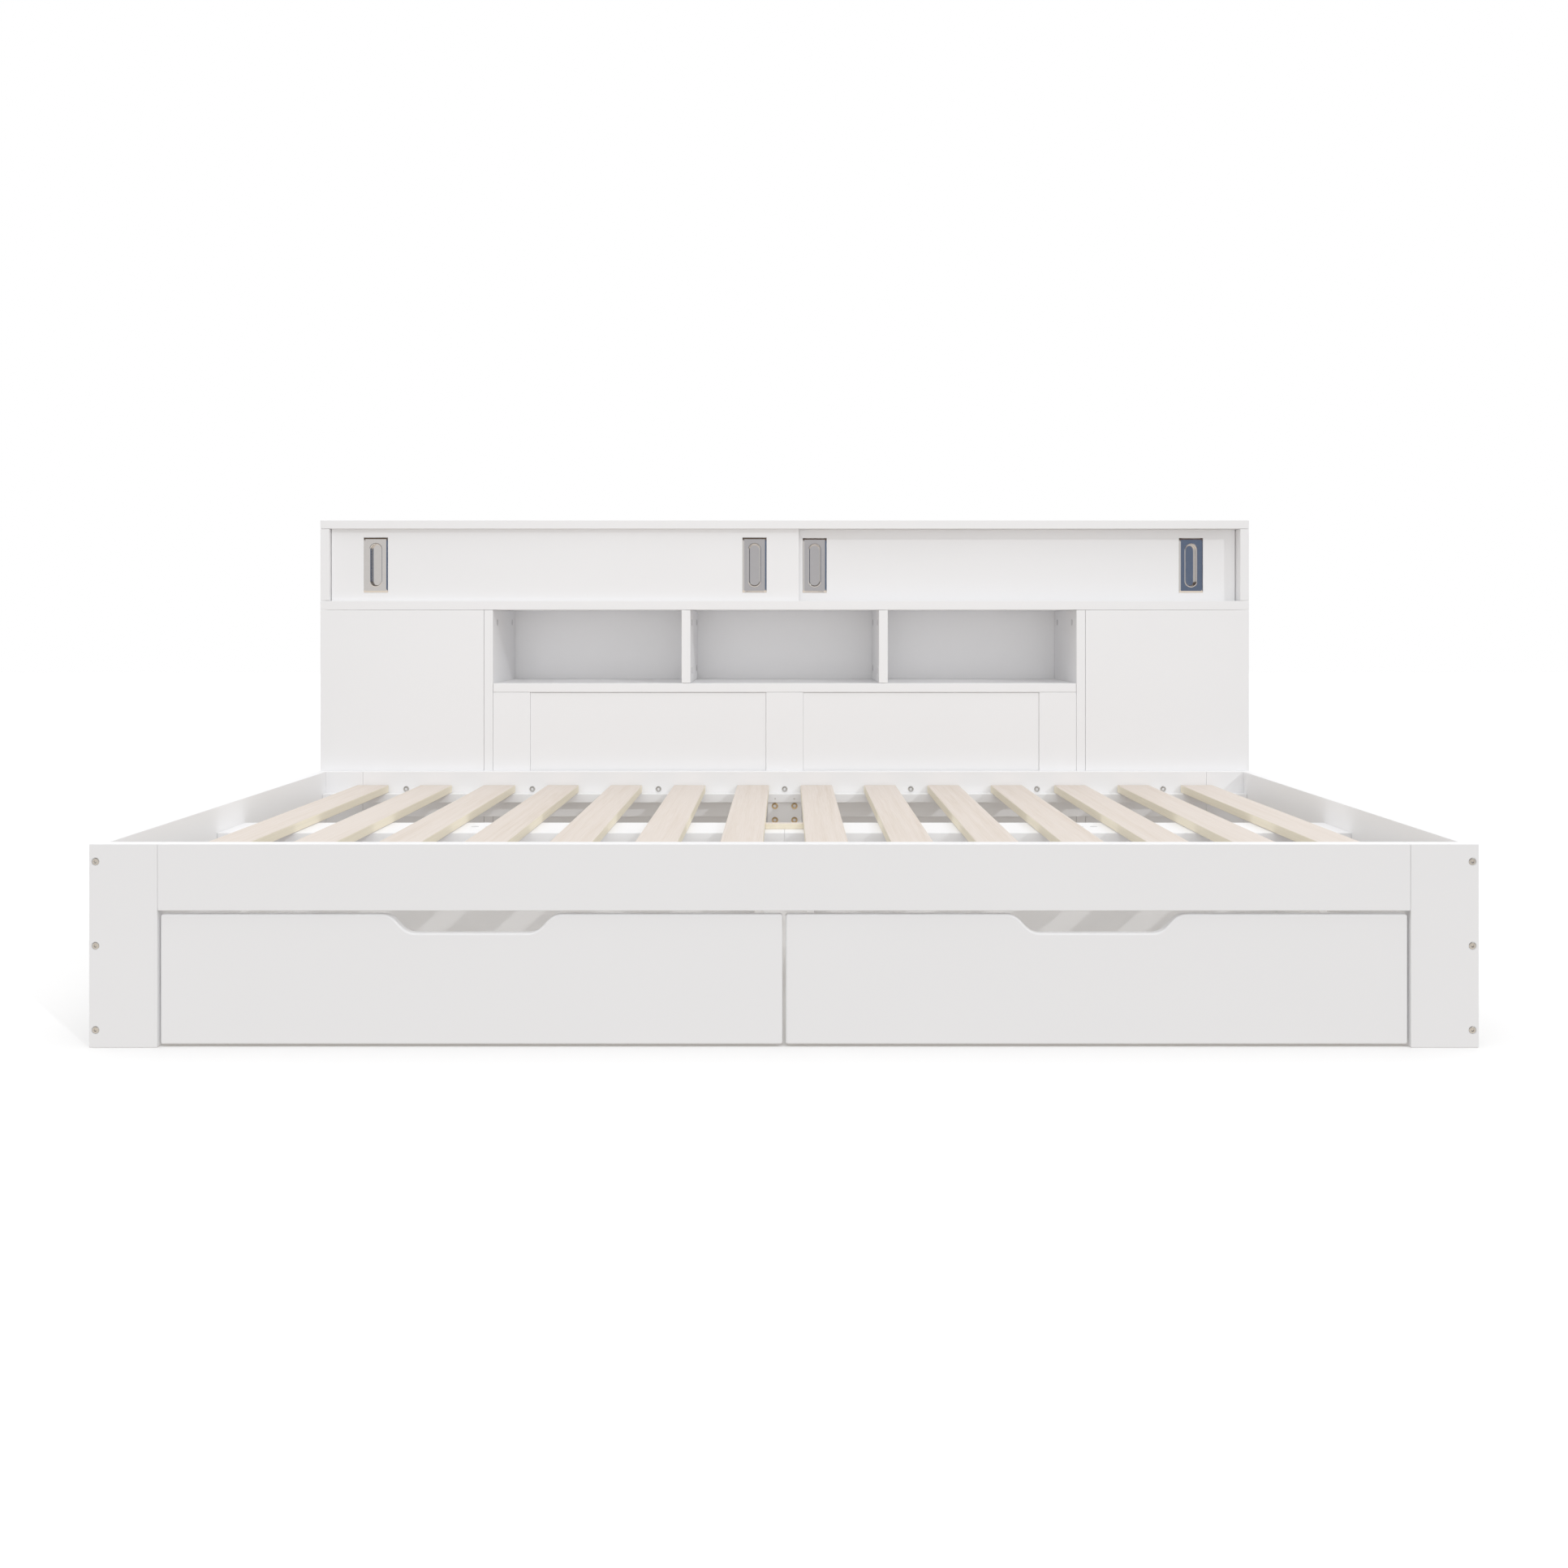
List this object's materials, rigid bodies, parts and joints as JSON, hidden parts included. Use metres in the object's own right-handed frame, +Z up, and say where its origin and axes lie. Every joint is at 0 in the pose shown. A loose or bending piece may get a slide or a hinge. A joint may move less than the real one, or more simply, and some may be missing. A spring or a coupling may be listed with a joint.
{
  "type": "platform bed with storage drawers",
  "caption": "White platform bed with pale wood slats, roll-out drawers in its long front side and a storage headboard with sliding doors and open cubbies along the back.",
  "frame": {"origin": "on the floor, under the centre of the object's bounding box", "axes": "+X along the bed's length to the right as seen from the open front, +Y from the drawers towards the headboard, +Z up"},
  "size_m": [1.98, 1.3254, 0.8236],
  "materials": {
    "white_lacquer": "satin",
    "slat_wood": "matte",
    "drawer_board": "satin",
    "nickel": "polished",
    "castor_plastic": "matte"
  },
  "bodies": {
    "bed_frame": {"front_left_post": "white_lacquer", "rear_left_post": "white_lacquer", "left_side_board": "white_lacquer", "front_right_post": "white_lacquer", "rear_right_post": "white_lacquer", "right_side_board": "white_lacquer", "front_rail": "white_lacquer", "rear_rail": "white_lacquer", "front_ledger": "white_lacquer", "rear_ledger": "white_lacquer", "slat_01": "slat_wood", "slat_02": "slat_wood", "slat_03": "slat_wood", "slat_04": "slat_wood", "slat_05": "slat_wood", "slat_06": "slat_wood", "slat_07": "slat_wood", "slat_08": "slat_wood", "slat_09": "slat_wood", "slat_10": "slat_wood", "slat_11": "slat_wood", "slat_12": "slat_wood", "slat_13": "slat_wood", "slat_14": "slat_wood", "left_beam": "white_lacquer", "left_beam_leg": "white_lacquer", "right_beam": "white_lacquer", "right_beam_leg": "white_lacquer", "rear_centre_leg": "white_lacquer", "headboard_top": "white_lacquer", "middle_shelf": "white_lacquer", "back_panel": "white_lacquer", "left_cabinet_end": "white_lacquer", "left_upright": "white_lacquer", "left_divider": "white_lacquer", "left_front_panel": "white_lacquer", "right_cabinet_end": "white_lacquer", "right_upright": "white_lacquer", "right_divider": "white_lacquer", "right_front_panel": "white_lacquer", "cubby_shelf": "white_lacquer", "lower_panel": "white_lacquer"},
    "left_door": {"left_door": "white_lacquer", "left_door_outer_pull": "nickel", "left_door_inner_pull": "nickel"},
    "right_door": {"right_door": "white_lacquer", "right_door_outer_pull": "nickel", "right_door_inner_pull": "nickel"},
    "left_drawer": {"left_drawer_front": "white_lacquer", "left_drawer_box": "drawer_board"},
    "right_drawer": {"right_drawer_front": "white_lacquer", "right_drawer_box": "drawer_board"},
    "left_drawer_front_inner_wheel": {"left_drawer_front_inner_wheel": "castor_plastic"},
    "left_drawer_front_outer_wheel": {"left_drawer_front_outer_wheel": "castor_plastic"},
    "left_drawer_rear_inner_wheel": {"left_drawer_rear_inner_wheel": "castor_plastic"},
    "left_drawer_rear_outer_wheel": {"left_drawer_rear_outer_wheel": "castor_plastic"},
    "right_drawer_front_inner_wheel": {"right_drawer_front_inner_wheel": "castor_plastic"},
    "right_drawer_front_outer_wheel": {"right_drawer_front_outer_wheel": "castor_plastic"},
    "right_drawer_rear_inner_wheel": {"right_drawer_rear_inner_wheel": "castor_plastic"},
    "right_drawer_rear_outer_wheel": {"right_drawer_rear_outer_wheel": "castor_plastic"}
  },
  "joints": [
    {"name": "left_door_slide", "type": "slide", "parent": "bed_frame", "child": "left_door", "axis": [1, 0, 0], "range_m": [0, 0.938]},
    {"name": "right_door_slide", "type": "slide", "parent": "bed_frame", "child": "right_door", "axis": [-1, 0, 0], "range_m": [0, 0.938]},
    {"name": "left_drawer_slide", "type": "slide", "parent": "bed_frame", "child": "left_drawer", "axis": [0, -1, 0], "range_m": [0, 0.4]},
    {"name": "right_drawer_slide", "type": "slide", "parent": "bed_frame", "child": "right_drawer", "axis": [0, -1, 0], "range_m": [0, 0.4]},
    {"name": "left_drawer_front_inner_wheel_spin", "type": "hinge", "parent": "left_drawer", "child": "left_drawer_front_inner_wheel", "pos_m": [-0.08325, -0.5963, 0.0142], "axis": [1, 0, 0], "continuous": true},
    {"name": "left_drawer_front_outer_wheel_spin", "type": "hinge", "parent": "left_drawer", "child": "left_drawer_front_outer_wheel", "pos_m": [-0.8093, -0.5963, 0.0142], "axis": [1, 0, 0], "continuous": true},
    {"name": "left_drawer_rear_inner_wheel_spin", "type": "hinge", "parent": "left_drawer", "child": "left_drawer_rear_inner_wheel", "pos_m": [-0.08325, -0.2613, 0.0142], "axis": [1, 0, 0], "continuous": true},
    {"name": "left_drawer_rear_outer_wheel_spin", "type": "hinge", "parent": "left_drawer", "child": "left_drawer_rear_outer_wheel", "pos_m": [-0.8093, -0.2613, 0.0142], "axis": [1, 0, 0], "continuous": true},
    {"name": "right_drawer_front_inner_wheel_spin", "type": "hinge", "parent": "right_drawer", "child": "right_drawer_front_inner_wheel", "pos_m": [0.08325, -0.5963, 0.0142], "axis": [1, 0, 0], "continuous": true},
    {"name": "right_drawer_front_outer_wheel_spin", "type": "hinge", "parent": "right_drawer", "child": "right_drawer_front_outer_wheel", "pos_m": [0.8093, -0.5963, 0.0142], "axis": [1, 0, 0], "continuous": true},
    {"name": "right_drawer_rear_inner_wheel_spin", "type": "hinge", "parent": "right_drawer", "child": "right_drawer_rear_inner_wheel", "pos_m": [0.08325, -0.2613, 0.0142], "axis": [1, 0, 0], "continuous": true},
    {"name": "right_drawer_rear_outer_wheel_spin", "type": "hinge", "parent": "right_drawer", "child": "right_drawer_rear_outer_wheel", "pos_m": [0.8093, -0.2613, 0.0142], "axis": [1, 0, 0], "continuous": true}
  ],
  "couplings": [
    {"joint": "left_drawer_front_inner_wheel_spin", "follows": "left_drawer_slide", "rad_per_m": 71.429},
    {"joint": "left_drawer_front_outer_wheel_spin", "follows": "left_drawer_slide", "rad_per_m": 71.429},
    {"joint": "left_drawer_rear_inner_wheel_spin", "follows": "left_drawer_slide", "rad_per_m": 71.429},
    {"joint": "left_drawer_rear_outer_wheel_spin", "follows": "left_drawer_slide", "rad_per_m": 71.429},
    {"joint": "right_drawer_front_inner_wheel_spin", "follows": "right_drawer_slide", "rad_per_m": 71.429},
    {"joint": "right_drawer_front_outer_wheel_spin", "follows": "right_drawer_slide", "rad_per_m": 71.429},
    {"joint": "right_drawer_rear_inner_wheel_spin", "follows": "right_drawer_slide", "rad_per_m": 71.429},
    {"joint": "right_drawer_rear_outer_wheel_spin", "follows": "right_drawer_slide", "rad_per_m": 71.429}
  ]
}
